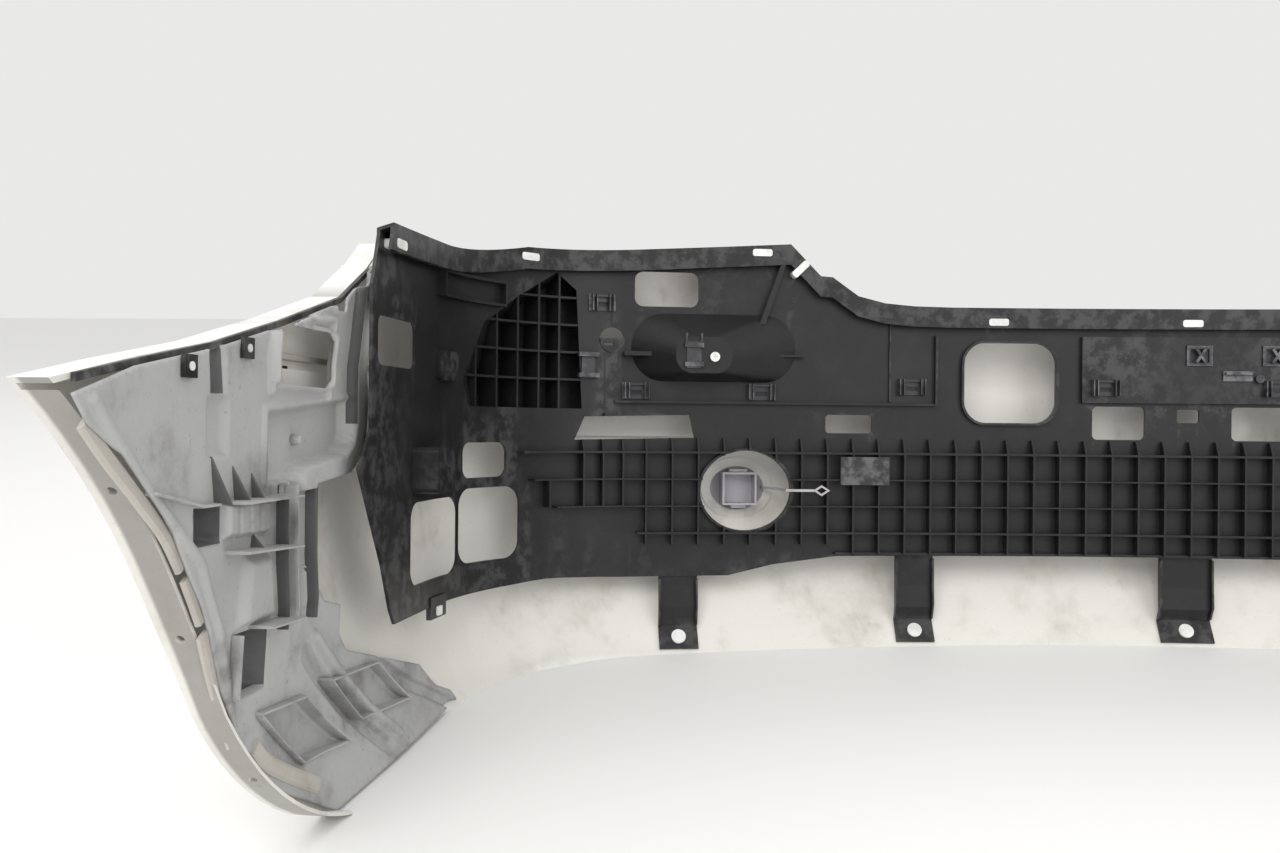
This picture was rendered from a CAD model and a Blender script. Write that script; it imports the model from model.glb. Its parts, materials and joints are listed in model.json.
import json
import bpy
import numpy as np
from math import cos, radians, sin
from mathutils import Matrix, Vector


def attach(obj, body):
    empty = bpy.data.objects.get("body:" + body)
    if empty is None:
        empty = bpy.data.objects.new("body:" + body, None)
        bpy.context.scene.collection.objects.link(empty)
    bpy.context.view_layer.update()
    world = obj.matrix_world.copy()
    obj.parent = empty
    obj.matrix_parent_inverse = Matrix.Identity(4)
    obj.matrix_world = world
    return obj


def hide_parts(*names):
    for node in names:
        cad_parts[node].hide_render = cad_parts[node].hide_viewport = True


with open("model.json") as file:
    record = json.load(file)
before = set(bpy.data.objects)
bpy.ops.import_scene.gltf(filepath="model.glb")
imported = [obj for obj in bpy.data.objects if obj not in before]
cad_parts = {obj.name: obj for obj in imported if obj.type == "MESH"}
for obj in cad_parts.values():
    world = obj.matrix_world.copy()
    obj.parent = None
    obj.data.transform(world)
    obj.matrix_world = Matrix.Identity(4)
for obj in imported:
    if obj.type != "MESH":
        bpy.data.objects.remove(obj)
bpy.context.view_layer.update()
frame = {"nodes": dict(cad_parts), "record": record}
nodes = frame["nodes"]

# ---------------------------------------------------------------- camera, floor and light
camera_place = (-0.575, -0.9825, 0.460)
camera_turn = (81.2, 0.0, 3.5)
camera_lens = 30.94


def add_camera():
    """Camera in front of the cover's open side, a little above it and left of the middle."""
    data = bpy.data.cameras.new("camera")
    data.sensor_width = 36.0
    data.lens = camera_lens
    camera = bpy.data.objects.new("camera", data)
    camera.location = camera_place
    camera.rotation_euler = [radians(a) for a in camera_turn]
    bpy.context.collection.objects.link(camera)
    bpy.context.scene.camera = camera


def add_area(name, place, target, size, power, colour=(1, 1, 1)):
    """Square soft light aimed at a point."""
    data = bpy.data.lights.new(name, "AREA")
    data.energy, data.size, data.color = power, size, colour
    light = bpy.data.objects.new(name, data)
    light.location = place
    aim = Vector(target) - Vector(place)
    light.rotation_euler = aim.to_track_quat("-Z", "Y").to_euler()
    bpy.context.collection.objects.link(light)


def plain_material(name, colour, roughness):
    """Material with one colour and roughness, for the stage only."""
    material = bpy.data.materials.new(name)
    material.use_nodes = True
    shader = material.node_tree.nodes["Principled BSDF"]
    shader.inputs["Base Color"].default_value = (*colour, 1)
    shader.inputs["Roughness"].default_value = roughness
    return material


def add_stage():
    """Flat pale floor and an even pale surround."""
    mesh = bpy.data.meshes.new("floor")
    mesh.from_pydata([(-9, -7, 0), (9, -7, 0), (9, 7, 0), (-9, 7, 0)], [], [(0, 1, 2, 3)])
    floor = bpy.data.objects.new("floor", mesh)
    mesh.materials.append(plain_material("floor", (0.86, 0.855, 0.845), 0.6))
    bpy.context.collection.objects.link(floor)
    world = bpy.data.worlds.new("surround")
    world.use_nodes = True
    world.node_tree.nodes["Background"].inputs["Color"].default_value = (0.96, 0.96, 0.955, 1)
    world.node_tree.nodes["Background"].inputs["Strength"].default_value = 0.85
    bpy.context.scene.world = world


add_camera()
add_stage()
add_area("window_light", (-1.2, -2.4, 2.6), (-0.1, 0.25, 0.2), 2.0, 60, (1.0, 0.99, 0.97))
add_area("fill_light", (1.8, -2.4, 1.8), (0.1, 0.3, 0.2), 2.0, 30, (0.98, 0.99, 1.0))
add_area("back_light", (0.0, 2.6, 2.2), (0.0, 0.0, 0.3), 2.4, 30)
bpy.context.scene.view_settings.view_transform = "Standard"


# ---------------------------------------------------------------- the cover's own frame
# Lengths s run along the plan curve from the middle (left side of the car positive), heights z are
# level, and depths d go inward from the plan curve. Millimetres, turned to metres in place().
half_width, rear_y, tip_y = 945.0, 385.0, -480.0
rear_radius, corner_radius = 3600.0, 290.0
corner_end, side_end = radians(84.0), radians(88.0)
lean = radians(8.8)
settle_y = -12.533


def solve_plan():
    """Rear arc, corner arc and side arc that join smoothly, as the frame's curve does. The rear
    arc's half width starts at a share of the whole and is stepped until the side arc ends at
    half_width."""
    rear_half = half_width * 0.7
    for _ in range(60):
        a1 = np.arcsin(rear_half / rear_radius)
        y1 = rear_y - rear_radius * (1 - cos(a1))
        corner = (rear_half - corner_radius * sin(a1), y1 - corner_radius * cos(a1))
        x2 = corner[0] + corner_radius * sin(corner_end)
        y2 = corner[1] + corner_radius * cos(corner_end)
        radius = (y2 - tip_y) / (cos(corner_end) - cos(side_end))
        rear_half += 0.9 * (half_width - x2 - radius * (sin(side_end) - sin(corner_end)))
    side = (x2 - radius * sin(corner_end), y2 - radius * cos(corner_end))
    return a1, corner, side, radius


rear_end, corner_centre, side_centre, side_radius = solve_plan()
s_corner = rear_radius * rear_end
s_side = s_corner + corner_radius * (corner_end - rear_end)


def plan(s):
    """Across, along and direction of the plan curve at the lengths s, as arrays."""
    sign, s = np.where(s < 0, -1.0, 1.0), np.abs(s)
    a0 = s / rear_radius
    a1 = rear_end + (s - s_corner) / corner_radius
    a2 = corner_end + (s - s_side) / side_radius
    a = np.where(s <= s_corner, a0, np.where(s <= s_side, a1, a2))
    x = np.where(s <= s_corner, rear_radius * np.sin(a),
                 np.where(s <= s_side, corner_centre[0] + corner_radius * np.sin(a),
                          side_centre[0] + side_radius * np.sin(a)))
    y = np.where(s <= s_corner, rear_y - rear_radius * (1 - np.cos(a)),
                 np.where(s <= s_side, corner_centre[1] + corner_radius * np.cos(a),
                          side_centre[1] + side_radius * np.cos(a)))
    return sign * x, y, sign * a


def place(s, z, d):
    """Points in the object's frame, in metres, from lengths, heights and depths."""
    s, z, d = np.broadcast_arrays(*(np.asarray(v, float) for v in (s, z, d)))
    x, y, a = plan(s)
    x, y = x - d * np.sin(a), y - d * np.cos(a)
    along = y * cos(lean) + z * sin(lean) + settle_y
    return np.stack([x, along, -y * sin(lean) + z * cos(lean)], -1) / 1000.0


# ---------------------------------------------------------------- shader helpers
class Build:
    """Short way to add and link a node tree's nodes."""

    def __init__(self, tree):
        self.tree = tree

    def node(self, kind, values=None, **settings):
        made = self.tree.nodes.new(kind)
        for key, value in settings.items():
            setattr(made, key, value)
        for key, value in (values or {}).items():
            if isinstance(value, bpy.types.NodeSocket):
                self.tree.links.new(value, made.inputs[key])
            else:
                made.inputs[key].default_value = value
        return made

    def math(self, operation, a, b=0.0, c=0.0, clamp=False):
        made = self.node("ShaderNodeMath", {0: a, 1: b, 2: c}, operation=operation, use_clamp=clamp)
        return made.outputs[0]

    def span(self, value, low, high, to_low=0.0, to_high=1.0):
        """Value spread from low..high to to_low..to_high, with soft ends."""
        made = self.node("ShaderNodeMapRange", {"Value": value, "From Min": low, "From Max": high,
                                                "To Min": to_low, "To Max": to_high},
                         interpolation_type="SMOOTHSTEP")
        return made.outputs[0]

    def mix(self, factor, a, b):
        made = self.node("ShaderNodeMix", {0: factor, 6: a, 7: b}, data_type="RGBA")
        return made.outputs[2]

    def noise(self, vector, scale, detail=3.0, rough=0.5):
        made = self.node("ShaderNodeTexNoise", {"Vector": vector, "Scale": scale, "Detail": detail,
                                                "Roughness": rough})
        return made.outputs["Fac"]


def new_group(name, inputs, outputs):
    """Shader node group with float inputs (name, default) and outputs (name, type)."""
    group = bpy.data.node_groups.new(name, "ShaderNodeTree")
    for label, default in inputs:
        socket = group.interface.new_socket(label, in_out="INPUT", socket_type="NodeSocketFloat")
        socket.default_value = default
    for label, kind in outputs:
        group.interface.new_socket(label, in_out="OUTPUT", socket_type=kind)
    b = Build(group)
    return group, b, b.node("NodeGroupInput"), b.node("NodeGroupOutput")


def make_dust():
    """Settled dust: a soft mask on faces that look up, broken by two sizes of noise."""
    group, b, inputs, outputs = new_group("settled_dust", [("Amount", 0.5), ("Scale", 9.0)],
                                          [("Mask", "NodeSocketFloat")])
    place = b.node("ShaderNodeTexCoord").outputs["Object"]
    normal = b.node("ShaderNodeNewGeometry").outputs["Normal"]
    up = b.node("ShaderNodeSeparateXYZ", {0: normal}).outputs[2]
    facing = b.span(up, -0.1, 0.9)
    coarse = b.span(b.noise(place, inputs.outputs["Scale"], 5.0, 0.6), 0.42, 0.68)
    fine = b.span(b.noise(place, 160.0, 4.0, 0.7), 0.4, 0.75)
    mask = b.math("MULTIPLY_ADD", coarse, 0.45, b.math("MULTIPLY", facing, 0.4))
    mask = b.math("MULTIPLY_ADD", fine, 0.2, mask)
    mask = b.math("MULTIPLY", mask, inputs.outputs["Amount"], clamp=True)
    b.tree.links.new(mask, outputs.inputs["Mask"])
    return group


def make_grain():
    """Moulded grain: bump height from fine cells and a little larger waviness."""
    group, b, inputs, outputs = new_group("moulded_grain", [("Scale", 900.0), ("Waves", 0.3)],
                                          [("Height", "NodeSocketFloat")])
    place = b.node("ShaderNodeTexCoord").outputs["Object"]
    fine = b.noise(place, inputs.outputs["Scale"], 2.0, 0.5)
    wide = b.noise(place, 14.0, 2.0, 0.5)
    height = b.math("MULTIPLY_ADD", wide, inputs.outputs["Waves"], b.math("MULTIPLY", fine, 0.3))
    b.tree.links.new(height, outputs.inputs["Height"])
    return group


def make_wear():
    """Rubbed edges: a mask along convex edges, broken by noise."""
    group, b, inputs, outputs = new_group("rubbed_edges", [("Amount", 0.5)],
                                          [("Mask", "NodeSocketFloat")])
    place = b.node("ShaderNodeTexCoord").outputs["Object"]
    point = b.node("ShaderNodeNewGeometry").outputs["Pointiness"]
    edge = b.span(point, 0.52, 0.6)
    broken = b.span(b.noise(place, 60.0, 4.0, 0.65), 0.42, 0.62)
    mask = b.math("MULTIPLY", edge, broken)
    mask = b.math("MULTIPLY", mask, inputs.outputs["Amount"], clamp=True)
    b.tree.links.new(mask, outputs.inputs["Mask"])
    return group


def make_streaks():
    """Grime streaks: noise stretched along the cover's height, in broad dark patches."""
    group, b, inputs, outputs = new_group("grime_streaks", [("Amount", 0.5), ("Scale", 7.0)],
                                          [("Mask", "NodeSocketFloat")])
    place = b.node("ShaderNodeTexCoord").outputs["Object"]
    long = b.node("ShaderNodeMapping", {"Vector": place, "Scale": (1.0, 1.0, 0.25)}).outputs[0]
    patches = b.span(b.noise(place, inputs.outputs["Scale"], 5.0, 0.62), 0.48, 0.72)
    lines = b.span(b.noise(long, 70.0, 3.0, 0.6), 0.45, 0.8)
    specks = b.span(b.noise(place, 240.0, 2.0, 0.6), 0.66, 0.74)
    mask = b.math("MULTIPLY_ADD", lines, 0.5, 0.5)
    mask = b.math("MULTIPLY", patches, mask)
    mask = b.math("MULTIPLY_ADD", specks, 0.35, mask)
    mask = b.math("MULTIPLY", mask, inputs.outputs["Amount"], clamp=True)
    b.tree.links.new(mask, outputs.inputs["Mask"])
    return group


dust_group, grain_group = make_dust(), make_grain()
wear_group, streak_group = make_wear(), make_streaks()


def moulded(name, colour, roughness, dust=0.3, dust_colour=(0.35, 0.34, 0.33), wear=0.3,
            wear_colour=(0.3, 0.3, 0.3), grime=0.0, grime_colour=(0.05, 0.05, 0.05), bump=0.15,
            metallic=0.0, grain=900.0, colour_from=None, dust_scale=9.0, grime_scale=7.0,
            specular=0.5, glow=0.0):
    """Moulded or pressed surface: base colour, dust, rubbed edges, grime and a fine grain."""
    material = bpy.data.materials.new(name)
    material.use_nodes = True
    b = Build(material.node_tree)
    shader = material.node_tree.nodes["Principled BSDF"]
    base = colour_from(b) if colour_from else (*colour, 1)
    dusty = b.node("ShaderNodeGroup", node_tree=dust_group)
    dusty.inputs["Amount"].default_value = dust
    dusty.inputs["Scale"].default_value = dust_scale
    worn = b.node("ShaderNodeGroup", node_tree=wear_group)
    worn.inputs["Amount"].default_value = wear
    dirty = b.node("ShaderNodeGroup", node_tree=streak_group)
    dirty.inputs["Amount"].default_value = grime
    dirty.inputs["Scale"].default_value = grime_scale
    tint = b.mix(dirty.outputs["Mask"], base, (*grime_colour, 1))
    tint = b.mix(worn.outputs["Mask"], tint, (*wear_colour, 1))
    tint = b.mix(dusty.outputs["Mask"], tint, (*dust_colour, 1))
    b.tree.links.new(tint, shader.inputs["Base Color"])
    rough = b.math("MULTIPLY_ADD", dusty.outputs["Mask"], 0.35, roughness, clamp=True)
    b.tree.links.new(rough, shader.inputs["Roughness"])
    shader.inputs["Metallic"].default_value = metallic
    if glow:
        b.tree.links.new(tint, shader.inputs["Emission Color"])
        shader.inputs["Emission Strength"].default_value = glow
    shader.inputs["Specular IOR Level"].default_value = specular
    grains = b.node("ShaderNodeGroup", node_tree=grain_group)
    grains.inputs["Scale"].default_value = grain
    raised = b.node("ShaderNodeBump", {"Strength": bump, "Distance": 0.001,
                                       "Height": grains.outputs["Height"]})
    b.tree.links.new(raised.outputs["Normal"], shader.inputs["Normal"])
    return material


def arch_depth_mask(b, place):
    """1 on the wings deeper than the edge's paint: the depth behind the side arc, less the skin's
    own draw-in towards the foot."""
    x, y, z = (b.math("MULTIPLY", place.outputs[k], 1000.0) for k in range(3))
    y = b.math("SUBTRACT", y, settle_y)
    along = b.math("SUBTRACT", b.math("MULTIPLY", y, cos(lean)), b.math("MULTIPLY", z, sin(lean)))
    up = b.math("ADD", b.math("MULTIPLY", y, sin(lean)), b.math("MULTIPLY", z, cos(lean)))
    dx = b.math("SUBTRACT", b.math("ABSOLUTE", x), float(side_centre[0]))
    dy = b.math("SUBTRACT", along, float(side_centre[1]))
    far = b.math("SQRT", b.math("ADD", b.math("MULTIPLY", dx, dx), b.math("MULTIPLY", dy, dy)))
    drawn = b.math("MAXIMUM", b.math("DIVIDE", b.math("SUBTRACT", 200.0, up), 220.0), 0.0)
    depth = b.math("SUBTRACT", float(side_radius), far)
    depth = b.math("SUBTRACT", depth, b.math("MULTIPLY", b.math("POWER", drawn, 1.6), 32.0))
    return b.math("MULTIPLY", b.span(depth, 4.0, 8.0), b.span(along, -110.0, -70.0, 1.0, 0.0))


def painted_face(b):
    """White paint outside and on the rim, bare grey-beige moulding inside."""
    place = b.node("ShaderNodeSeparateXYZ", {0: b.node("ShaderNodeTexCoord").outputs["Object"]})
    normal = b.node("ShaderNodeSeparateXYZ",
                    {0: b.node("ShaderNodeNewGeometry").outputs["Normal"]})
    across = b.math("POWER", b.math("DIVIDE", b.math("ABSOLUTE", place.outputs[0]), 0.94), 5.0)
    across = b.math("MULTIPLY", across, b.math("SIGN", place.outputs[0]))
    along = b.math("MAXIMUM", b.math("DIVIDE", b.math("ADD", place.outputs[1], 0.1), 0.5), 0.0)
    along = b.math("POWER", along, 3.0)
    backward = b.math("MULTIPLY", along, normal.outputs[1])
    out = b.math("MULTIPLY_ADD", across, normal.outputs[0], backward)
    out = b.math("MULTIPLY_ADD", normal.outputs[2], 0.35, out)
    plain = b.mix(b.span(out, 0.0, 0.12), (0.66, 0.64, 0.60, 1), (0.80, 0.80, 0.78, 1))
    back = b.span(normal.outputs[1], -0.45, -0.2, 1.0, 0.0)
    bare = b.math("MULTIPLY", arch_depth_mask(b, place), back)
    return b.mix(bare, plain, (0.27, 0.26, 0.24, 1))


finish = {
    "paint": moulded(
        "white_paint", (0.8, 0.8, 0.78), 0.32, dust=0.12, dust_colour=(0.52, 0.50, 0.46),
        wear=0.1, wear_colour=(0.4, 0.38, 0.35), grime=0.5, grime_colour=(0.20, 0.16, 0.12),
        bump=0.05, colour_from=painted_face, grime_scale=11.0, glow=0.10),
    "carrier_plastic": moulded(
        "charcoal_moulding", (0.011, 0.011, 0.012), 0.40, dust=0.07,
        dust_colour=(0.15, 0.145, 0.14), wear=0.45, wear_colour=(0.09, 0.09, 0.09), bump=0.25,
        grime=0.15, grime_colour=(0.03, 0.027, 0.025), dust_scale=26.0, grime_scale=12.0,
        specular=0.32),
    "liner_plastic": moulded(
        "pale_grey_moulding", (0.40, 0.40, 0.395), 0.5, dust=0.5, dust_colour=(0.25, 0.245, 0.24),
        wear=0.4, wear_colour=(0.60, 0.60, 0.59), grime=1.0, grime_colour=(0.075, 0.073, 0.07),
        bump=0.12, grime_scale=13.0),
    "beige_strip": moulded(
        "beige_edge_strip", (0.46, 0.43, 0.385), 0.5, dust=0.35, dust_colour=(0.40, 0.38, 0.35),
        wear=0.2, wear_colour=(0.66, 0.64, 0.6), grime=0.6, grime_colour=(0.16, 0.14, 0.12),
        grime_scale=14.0),
    "sooty_liner": moulded(
        "sooty_grey_moulding", (0.075, 0.075, 0.077), 0.6, dust=0.35,
        dust_colour=(0.22, 0.215, 0.21), wear=0.2, wear_colour=(0.5, 0.5, 0.5), grime=0.9,
        grime_colour=(0.035, 0.035, 0.037), bump=0.15, grime_scale=22.0),
    "seal_rubber": moulded("black_rubber", (0.015, 0.015, 0.015), 0.6, dust=0.2, bump=0.2),
    "cap_plastic": moulded(
        "grey_lilac_plastic", (0.42, 0.40, 0.44), 0.5, dust=0.2, grime=0.4, bump=0.1),
    "tether_plastic": moulded(
        "grey_strap_plastic", (0.40, 0.38, 0.40), 0.5, dust=0.2, grime=0.3, bump=0.1),
    "white_plastic": moulded(
        "white_clip_plastic", (0.78, 0.78, 0.75), 0.45, dust=0.15, grime=0.3,
        grime_colour=(0.2, 0.18, 0.15), bump=0.08),
    "clip_steel": moulded(
        "dark_spring_steel", (0.035, 0.035, 0.038), 0.38, dust=0.1, dust_colour=(0.2, 0.2, 0.2),
        wear=0.35, wear_colour=(0.3, 0.3, 0.31), metallic=0.5, bump=0.1),
    "felt": moulded(
        "grey_felt", (0.032, 0.032, 0.034), 0.9, dust=0.25, dust_colour=(0.16, 0.16, 0.16),
        bump=0.9, grain=1400.0),
}


def add_mesh(name, points, faces, material, body="bumper", smooth=True):
    """New piece from arrays of points and faces, riding on a body."""
    mesh = bpy.data.meshes.new(name)
    mesh.from_pydata(np.asarray(points).reshape(-1, 3).tolist(), [], faces)
    mesh.materials.append(material)
    mesh.polygons.foreach_set("use_smooth", [smooth] * len(mesh.polygons))
    mesh.update()
    piece = bpy.data.objects.new(name, mesh)
    bpy.context.collection.objects.link(piece)
    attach(piece, body)
    return piece


def tube_faces(rows, columns):
    """Quads between neighbouring rings of points, each ring closed."""
    i, j = np.arange(rows - 1)[:, None], np.arange(columns)[None, :]
    j2 = (j + 1) % columns
    quads = np.stack([i * columns + j, i * columns + j2, (i + 1) * columns + j2,
                      (i + 1) * columns + j], -1)
    return quads.reshape(-1, 4).tolist()


def capped_tube(rings, turn_over):
    """Faces of a closed tube over rings of points (ring, point, xyz), with a face at each end."""
    rows, columns = rings.shape[:2]
    faces = tube_faces(rows, columns)
    faces += [list(range(columns)), [(rows - 1) * columns + k for k in reversed(range(columns))]]
    return [face[::-1] for face in faces] if turn_over else faces


def across_path(path):
    """Unit vectors across a path (s, z), in the wall's surface."""
    run = np.gradient(path, axis=0)
    run /= np.linalg.norm(run, axis=1)[:, None]
    return np.stack([-run[:, 1], run[:, 0]], 1)


def swept(name, path, profile, material, side):
    """Profile carried along a path: closed solid from path points (s, z, d) and profile points
    (sideways, inward), where sideways is across the path on the wall's surface."""
    path = np.asarray(path, float)
    across = across_path(path[:, :2])
    profile = np.asarray(profile, float)
    s = path[:, 0, None] + across[:, 0, None] * profile[None, :, 0]
    z = path[:, 1, None] + across[:, 1, None] * profile[None, :, 0]
    d = path[:, 2, None] + profile[None, :, 1]
    points = place(side * s, z, d)
    return add_mesh(name, points, capped_tube(points, side < 0), material, smooth=False)


# ---------------------------------------------------------------- the wing liners
rear_profile = ((0, 112), (48, 64), (60, 57), (80, 44), (110, 27), (150, 11), (190, 3), (230, 0),
                (355, 0), (400, 3), (440, 9), (480, 16), (540, 28))
side_profile = ((-60, 44), (-20, 32), (0, 28), (40, 20), (80, 13), (120, 7), (160, 2), (200, 0),
                (300, 0), (355, 0), (420, 7), (480, 14), (540, 24))
profile_change = (96.0, 480.0)
skin_wall, liner_wall = 3.0, 2.5
sheet_to_skin = 0.8         # least clearance between the liner's sheet and the skin
foot_to_skin = 0.9          # the same at the foot of its upright walls
liner_offset = ((-30, 9), (60, 13), (110, 20), (165, 30), (460, 30))
inner_edge = ((111, 23), (107, 33), (85, 41), (62, 66), (-12, 88), (-80, 108), (-94, 124),
              (-94, 150), (-128, 159), (-160, 191), (-160, 258), (-84, 265), (-40, 287), (-35, 328),
              (-50, 447))
arch_edge = ((-101, 411), (-204, 381), (-301, 357), (-400, 339), (-461, 321), (-446, 304),
             (-417, 288), (-357, 235), (-323, 187), (-286, 111), (-272, 80), (-241, 62), (-241, 40),
             (-175, 9), (-124, -17))


def skin_depth(s, z):
    """Depth of the skin's outside: a rear and a side profile, mixed along the corner."""
    w = np.clip((np.abs(s) - s_corner - profile_change[0]) / profile_change[1], 0, 1)
    rear = np.interp(z, *zip(*rear_profile))
    side = np.interp(z, *zip(*side_profile))
    return (1 - w) * rear + w * side


def liner_depth(s, z):
    """Depth of the liner's plain sheet."""
    return skin_depth(s, z) + np.interp(z, *zip(*liner_offset))


def length_at(y):
    """Length along the plan curve of the places y along a wing."""
    s = np.linspace(s_side - 420, s_side + 620, 2081)
    along = plan(s)[1]
    return np.interp(-np.asarray(y, float), -along, s)


def to_outline(s, z, loop):
    """Signed distance (inside positive) and nearest point of a closed line, for arrays s, z."""
    loop = np.asarray(loop, float)
    a, b = loop, np.roll(loop, -1, 0)
    p = np.stack([s, z], -1)[..., None, :]
    run = b - a
    t = np.clip(((p - a) * run).sum(-1) / (run ** 2).sum(-1), 0, 1)
    near = a + t[..., None] * run
    gap = np.linalg.norm(p - near, axis=-1)
    k = gap.argmin(-1)
    best = np.take_along_axis(near, k[..., None, None], -2)[..., 0, :]
    up = (a[:, 1] > z[..., None]) != (b[:, 1] > z[..., None])
    with np.errstate(divide="ignore", invalid="ignore"):
        cross = a[:, 0] + (z[..., None] - a[:, 1]) * run[:, 0] / run[:, 1]
    inside = (up & (s[..., None] < cross)).sum(-1) % 2 == 1
    return np.where(inside, 1, -1) * gap.min(-1), best


def to_line(s, z, line):
    """Distance from an open line, for arrays s, z."""
    line = np.asarray(line, float)
    a, run = line[:-1], np.diff(line, axis=0)
    p = np.stack([s, z], -1)[..., None, :]
    t = np.clip(((p - a) * run).sum(-1) / (run ** 2).sum(-1), 0, 1)
    return np.linalg.norm(p - a - t[..., None] * run, axis=-1).min(-1)


def soft_step(x, low, high):
    """Smooth rise from 0 at low to 1 at high."""
    t = np.clip((x - low) / (high - low), 0, 1)
    return t * t * (3 - 2 * t)


def rounded(s, z, w, h, r):
    """Closed outline of a rounded rectangle about (s, z)."""
    turns = np.radians(np.arange(0, 360, 15) + 7.5)
    cs = np.where(np.cos(turns) > 0, w / 2 - r, r - w / 2) + r * np.cos(turns)
    cz = np.where(np.sin(turns) > 0, h / 2 - r, r - h / 2) + r * np.sin(turns)
    return [(s + a, z + b) for a, b in zip(cs, cz)]


# The liner's details below are (length along the plan curve, height) in the cover's own frame.
window_loop = rounded(1290, 358, 98, 46, 8)
notch_loop = rounded(1226, 408, 18, 14, 3)
# sunk and raised fields: outline, height, softness, whether soot has settled there
fields = (
    (((1199, 262), (1350, 262), (1350, 316), (1199, 329)), -8.0, 3.0, False),
    (((1405, 284), (1430, 284), (1430, 322), (1405, 322)), -5.0, 5.0, False),
    (((1409, 326), (1426, 326), (1428, 384), (1408, 376)), -11.0, 4.0, True),
    (((1345, 112), (1396, 112), (1396, 157), (1345, 157)), -16.0, 2.5, True),
    (((1276, 152), (1304, 152), (1304, 260), (1276, 260)), -16.0, 3.0, False),
    (((1310, 152), (1325, 152), (1325, 258), (1310, 258)), -14.0, 2.5, True),
    (((1231, 89), (1145, 86), (1097, 44), (1184, 45)), -7.0, 3.0, False),
    (((1355, 92), (1280, 87), (1214, 35), (1288, 37)), -8.0, 3.0, False),
    (((1448, 225), (1415, 225), (1415, 249), (1448, 249)), -22.0, 2.5, True),
    (((1412, 228), (1348, 226), (1348, 250), (1412, 250)), 6.0, 2.5, False),
    (((1392, 164), (1345, 164), (1345, 208), (1378, 208)), 7.0, 8.0, False),
)
# grooves and rims: line, half width, height (negative is a groove), softness
runs = (
    (((1185, 445), (1185, 304), (1194, 282), (1214, 270), (1290, 262)), 9.0, 9.0, 3.0),
    (((1271, 120), (1210, 64), (1147, 12)), 6.0, -9.0, 3.0),
    (((1132, 84), (1070, 48), (1014, 20)), 5.0, -7.0, 3.0),
    (((1258, 132), (1196, 78), (1128, 20)), 3.0, 5.0, 2.5),
    (((1350, 262), (1350, 316), (1199, 329)), 2.0, 2.0, 2.0),
    (((1342, 330), (1342, 384), (1238, 392), (1238, 328)), 2.0, 4.5, 2.0),
    (((1560, 318), (1500, 262), (1440, 214), (1410, 150), (1392, 96)), 2.5, 3.0, 2.0),
    (((1396, 226), (1396, 250)), 0.8, -2.5, 1.5), (((1380, 226), (1380, 250)), 0.8, -2.5, 1.5),
    (((1364, 226), (1364, 250)), 0.8, -2.5, 1.5),
)
soot_line, soot_half = ((1196, 440), (1196, 309)), 2.6   # soot on the rim's inner side
soot_margin = 0.6           # how far soot reaches past a sooty field's outline
frames = ((window_loop, 4.0), (notch_loop, 2.0))         # opening and height of its frame
frame_width, frame_slope = 5.0, 2.5
pin_place, pin_field = (1287.0, 293.0), -8.0             # and the height of the field it stands on
pin_rings = ((4.4, -1.0), (4.0, 7.0), (3.2, 8.0), (0.5, 8.2))   # radius, rise
sheet_pitch = 2.0
sheet_reach = (1000, 1600, -24, 462)
wall_pitch = 6.0
wall_profile = ((-1.3, 0.0), (-1.1, 0.82), (-0.7, 1.0), (0.7, 1.0), (1.1, 0.82), (1.3, 0.0))
# thin upright walls: line, height
walls = (
    (((1502, 263), (1444, 251), (1408, 251)), 6.0), (((1408, 251), (1323, 251)), 20.0),
    (((1409, 217), (1322, 213)), 20.0), (((1374, 160), (1319, 158)), 20.0),
    (((1308, 152), (1308, 258)), 8.0), (((1231, 90), (1145, 87), (1095, 43)), 6.0),
    (((1356, 93), (1281, 88), (1212, 34)), 6.0), (((1231, 90), (1186, 46), (1097, 43)), 5.0),
    (((1355, 92), (1290, 38), (1216, 34)), 5.0), (((1396, 112), (1396, 158)), 8.0),
)
# dark walls and triangular stiffeners: line, height at its start, height at its end
gussets = (
    (((1422, 251), (1426, 283)), 13.0, 0.0), (((1393, 251), (1397, 276)), 12.0, 0.0),
    (((1366, 251), (1369, 270)), 9.0, 0.0), (((1368, 216), (1366, 226)), 10.0, 0.0),
    (((1327, 150), (1327, 252)), 9.0, 9.0), (((1273, 150), (1273, 259)), 8.0, 8.0),
)


def liner_height(s, z):
    """Relief of the liner's sheet: sunk and raised fields, grooves and rims with soft edges, and a
    low frame round each opening."""
    height = np.zeros_like(s)
    for loop, rise, soft, _ in fields:
        inside, _ = to_outline(s, z, loop)
        height = height + soft_step(inside, -soft / 2, soft / 2) * (rise - height)
    for line, half, rise, soft in runs:
        near = soft_step(-to_line(s, z, line), -half - soft, -half)
        height = height + near * (rise if rise < 0 else np.maximum(rise - height, 0))
    for loop, rise in frames:
        inside, _ = to_outline(s, z, loop)
        height = height + rise * soft_step(inside, -frame_width, -frame_slope)
    wave = 0.5 * np.sin(s / 37.0) * np.sin(z / 29.0)    # slight warp of a large moulding
    return height + wave


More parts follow.
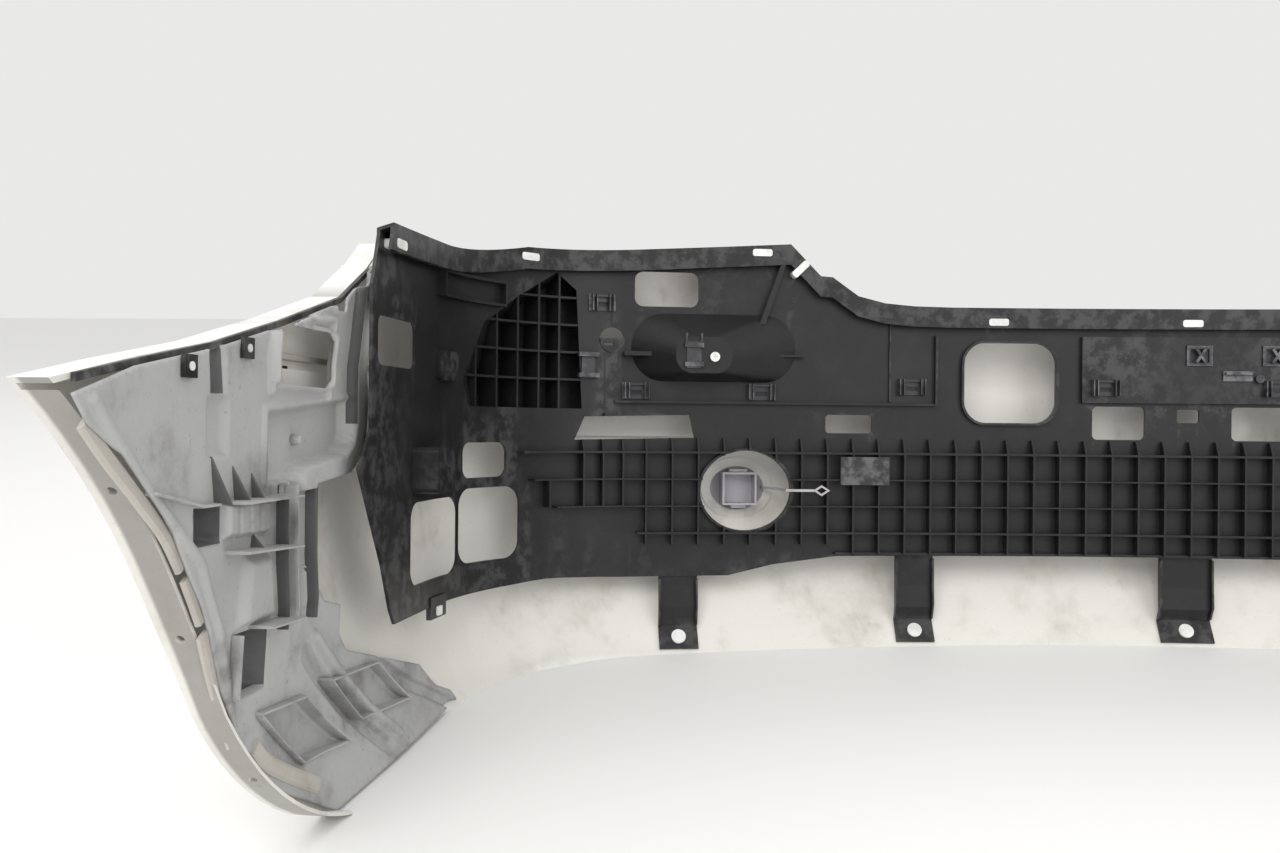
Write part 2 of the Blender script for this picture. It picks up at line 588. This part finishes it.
def liner_sheet(side):
    """Closed sheet over a grid (s, z): front and back lie at liner_depth + liner_height, a wall's
    thickness apart. Points near the outline and the openings are moved onto them."""
    low_s, high_s, low_z, high_z = sheet_reach
    s, z = np.meshgrid(np.arange(low_s, high_s, sheet_pitch), np.arange(low_z, high_z, sheet_pitch))
    outline = [(length_at(y), up) for y, up in inner_edge + arch_edge]
    loops = [outline, window_loop, notch_loop]
    found = [to_outline(s, z, loop) for loop in loops]
    signed = np.minimum.reduce([found[0][0]] + [-f[0] for f in found[1:]])
    which = np.argmin(np.stack([np.abs(f[0]) for f in found]), 0)
    nearest = np.stack([f[1] for f in found])
    nearest = np.take_along_axis(nearest, which[None, ..., None], 0)[0]
    centre = (signed[:-1, :-1] + signed[1:, :-1] + signed[:-1, 1:] + signed[1:, 1:]) / 4
    kept = centre > 0
    used = np.zeros(s.shape, bool)
    count = np.zeros(s.shape, int)
    for i in (0, 1):
        for j in (0, 1):
            rows, columns = slice(i, i + kept.shape[0]), slice(j, j + kept.shape[1])
            used[rows, columns] |= kept
            count[rows, columns] += kept
    edge = used & (count < 4)
    s, z = np.where(edge, nearest[..., 0], s), np.where(edge, nearest[..., 1], z)
    depth = liner_depth(s, z) + liner_height(s, z)
    depth = np.maximum(depth, skin_depth(s, z) + skin_wall + sheet_to_skin)
    index = np.cumsum(used.ravel()).reshape(used.shape) - 1
    total = int(used.sum())
    back = place(side * s[used], z[used], depth[used])
    front = place(side * s[used], z[used], depth[used] + liner_wall)
    a, b = index[:-1, :-1][kept], index[:-1, 1:][kept]
    c, d = index[1:, 1:][kept], index[1:, :-1][kept]
    if side > 0:
        a, b, c, d = a, d, c, b
    quads = np.stack([a, b, c, d], -1)
    edges = np.concatenate([quads[:, [k, (k + 1) % 4]] for k in range(4)])
    keys = {tuple(e) for e in edges.tolist()}
    rims = [(p, q) for p, q in keys if (q, p) not in keys]
    faces = (quads + total).tolist() + quads[:, ::-1].tolist()
    faces += [[q + total, p + total, p, q] for p, q in rims]
    along, up = s[used][quads].mean(-1), z[used][quads].mean(-1)
    sooty = to_line(along, up, soot_line) < soot_half
    for loop, _, _, has_soot in fields:
        if has_soot:
            sooty |= to_outline(along, up, loop)[0] > -soot_margin
    tone = np.concatenate([sooty, sooty, np.zeros(len(rims), bool)])
    return np.concatenate([back, front]), faces, tone


def wall_strip(line, height, end_height, side):
    """Thin wall along a line on the liner, its foot in the sheet and its height running evenly from
    height to end_height: points and faces."""
    dense = []
    for (s0, z0), (s1, z1) in zip(line, line[1:]):
        n = max(2, int(np.hypot(s1 - s0, z1 - z0) / wall_pitch))
        dense += [(s0 + (s1 - s0) * k / n, z0 + (z1 - z0) * k / n) for k in range(n)]
    dense.append(line[-1])
    path = np.asarray(dense, float)
    s, z = path.T
    across = across_path(path)
    lowest = skin_depth(s, z) + skin_wall + foot_to_skin
    foot = np.maximum(liner_depth(s, z) + np.minimum(liner_height(s, z), 0), lowest)
    top = liner_depth(s, z) + liner_wall + np.linspace(height, end_height, len(path))
    top = np.maximum(top, foot + 0.5)
    points = []
    for sideways, up in wall_profile:
        p = path + across * sideways
        points.append(place(side * p[:, 0], p[:, 1], foot + (top - foot) * up))
    points = np.stack(points, 1)
    return points.reshape(-1, 3), capped_tube(points, side < 0)


def wall_mesh(name, strips, material, side):
    """One mesh of several wall strips (line, height, end height)."""
    all_points, all_faces, start = [], [], 0
    for line, height, end_height in strips:
        points, faces = wall_strip(line, height, end_height, side)
        all_faces += [[k + start for k in face] for face in faces]
        all_points.append(points)
        start += len(points)
    return add_mesh(name, np.concatenate(all_points), all_faces, material, smooth=False)


def liner_pin(side, label):
    """Short round pin on the liner's large sunk field, with a domed end."""
    turn = np.radians(np.arange(0, 360, 20))
    base = float(liner_depth(*(np.array(v) for v in pin_place))) + pin_field + liner_wall
    rings = []
    for radius, rise in pin_rings:
        s, z = pin_place[0] + radius * np.cos(turn), pin_place[1] + radius * np.sin(turn)
        rings.append(place(side * s, z, np.full_like(s, base + rise)))
    rings = np.stack(rings)
    rows, columns = rings.shape[:2]
    faces = tube_faces(rows, columns)
    faces += [list(range(columns))[::-1], list(range((rows - 1) * columns, rows * columns))]
    if side > 0:
        faces = [face[::-1] for face in faces]
    return add_mesh("liner_pin_" + label, rings, faces, finish["liner_plastic"])


def make_wing_liner(side, label):
    """The liner's sheet with its relief, the thin walls that stand on it, and its pin."""
    points, faces, sooty = liner_sheet(side)
    sheet = add_mesh("liner_sheet_" + label, points, faces, finish["liner_plastic"])
    sheet.data.materials.append(finish["sooty_liner"])
    sheet.data.polygons.foreach_set("material_index", sooty.astype(np.int32))
    ribs = wall_mesh("liner_walls_" + label, [(line, h, h) for line, h in walls],
                     finish["liner_plastic"], side)
    stays = wall_mesh("liner_gussets_" + label, gussets, finish["sooty_liner"], side)
    pin = liner_pin(side, label)
    for piece in (sheet, ribs, stays, pin):
        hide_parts("wing_liner_" + label)


make_wing_liner(-1, "right")
make_wing_liner(1, "left")

# ---------------------------------------------------------------- strips along the wheel arches
# (along the car, up) points of each strip's middle line, its half width, and how far its foot is
# inward of the liner's plain sheet
arch_strips = (
    (((-446, 306), (-428, 290), (-390, 260), (-358, 233), (-341, 212)), 5.5, -3.0),
    (((-337, 205), (-328, 190), (-319, 173)), 4.0, -3.0),
    (((-314, 167), (-295, 132), (-278, 104), (-266, 80)), 9.0, -3.0),
    (((-244, 70), (-228, 54), (-208, 42), (-180, 27), (-150, 12)), 7.0, 1.5),
)
strip_profile = ((-1.0, 0.0), (-0.95, 2.2), (-0.6, 3.4), (0.6, 3.4), (0.95, 2.2), (1.0, 0.0))


def bent_line(points, pitch=6.0):
    """Evenly spaced points along a smooth line through the given ones."""
    points = np.asarray(points, float)
    run = np.r_[0, np.cumsum(np.linalg.norm(np.diff(points, axis=0), axis=1))]
    at = np.linspace(0, run[-1], max(4, int(run[-1] / pitch)))
    slope = np.gradient(points, run, axis=0)
    k = np.clip(np.searchsorted(run, at) - 1, 0, len(run) - 2)
    h = (run[k + 1] - run[k])[:, None]
    u = ((at - run[k])[:, None]) / h
    a, b = points[k], points[k + 1]
    return ((1 + 2 * u) * (1 - u) ** 2 * a + u * (1 - u) ** 2 * h * slope[k]
            + u * u * (3 - 2 * u) * b - u * u * (1 - u) * h * slope[k + 1])


def make_arch_strip(name, side, line, half, inward):
    """Rounded pad between the arch flange and the liner: a flat profile along a bent line."""
    line = bent_line(line)
    s, z = length_at(line[:, 0]), line[:, 1]
    path = np.stack([s, z, liner_depth(s, z) + inward], 1)
    swept(name, path, [(a * half, up) for a, up in strip_profile], finish["beige_strip"], side)


for side, label in ((-1, "right"), (1, "left")):
    for number, (line, half, inward) in enumerate(arch_strips, 1):
        make_arch_strip("arch_strip_%s_%d" % (label, number), side, line, half, inward)


# ---------------------------------------------------------------- ledge behind the windows
ledge_z, ledge_foot = 360.0, 2.6          # height, and depth of its foot in the skin's wall
ledge_s = (1000.0, 1352.0, 8.0)           # start, end and step along the plan curve
ledge_profile = ((-2.5, 0.0), (-2.5, 8.4), (-2.0, 9.0), (2.0, 9.0), (2.5, 8.4), (2.5, 0.0))
slot_z, slot_foot = 350.6, 2.8
slot_profile = ((-2.6, 0.0), (-2.6, 0.9), (2.6, 0.9), (2.6, 0.0))
slot_ends = ((1318.0, 1334.0), (1252.0, 1282.0), (1010.0, 1040.0))


def on_skin(s, z, foot):
    """Path at one height on the skin, its depth a little inside the skin's wall."""
    z = np.full_like(s, z)
    return np.stack([s, z, skin_depth(s, z) + foot], 1)


for side, label in ((-1, "right"), (1, "left")):
    swept("channel_ledge_" + label, on_skin(np.arange(*ledge_s), ledge_z, ledge_foot),
          ledge_profile, finish["beige_strip"], side)
    for number, ends in enumerate(slot_ends, 1):
        swept("channel_slot_%s_%d" % (label, number),
              on_skin(np.linspace(*ends, 5), slot_z, slot_foot), slot_profile,
              finish["carrier_plastic"], side)


# ---------------------------------------------------------------- finishes on the frame's nodes
for row in frame["record"]["subparts"]:
    node = nodes[row["node"]]
    node.data.materials.clear()
    node.data.materials.append(finish[row["material_slot"]])
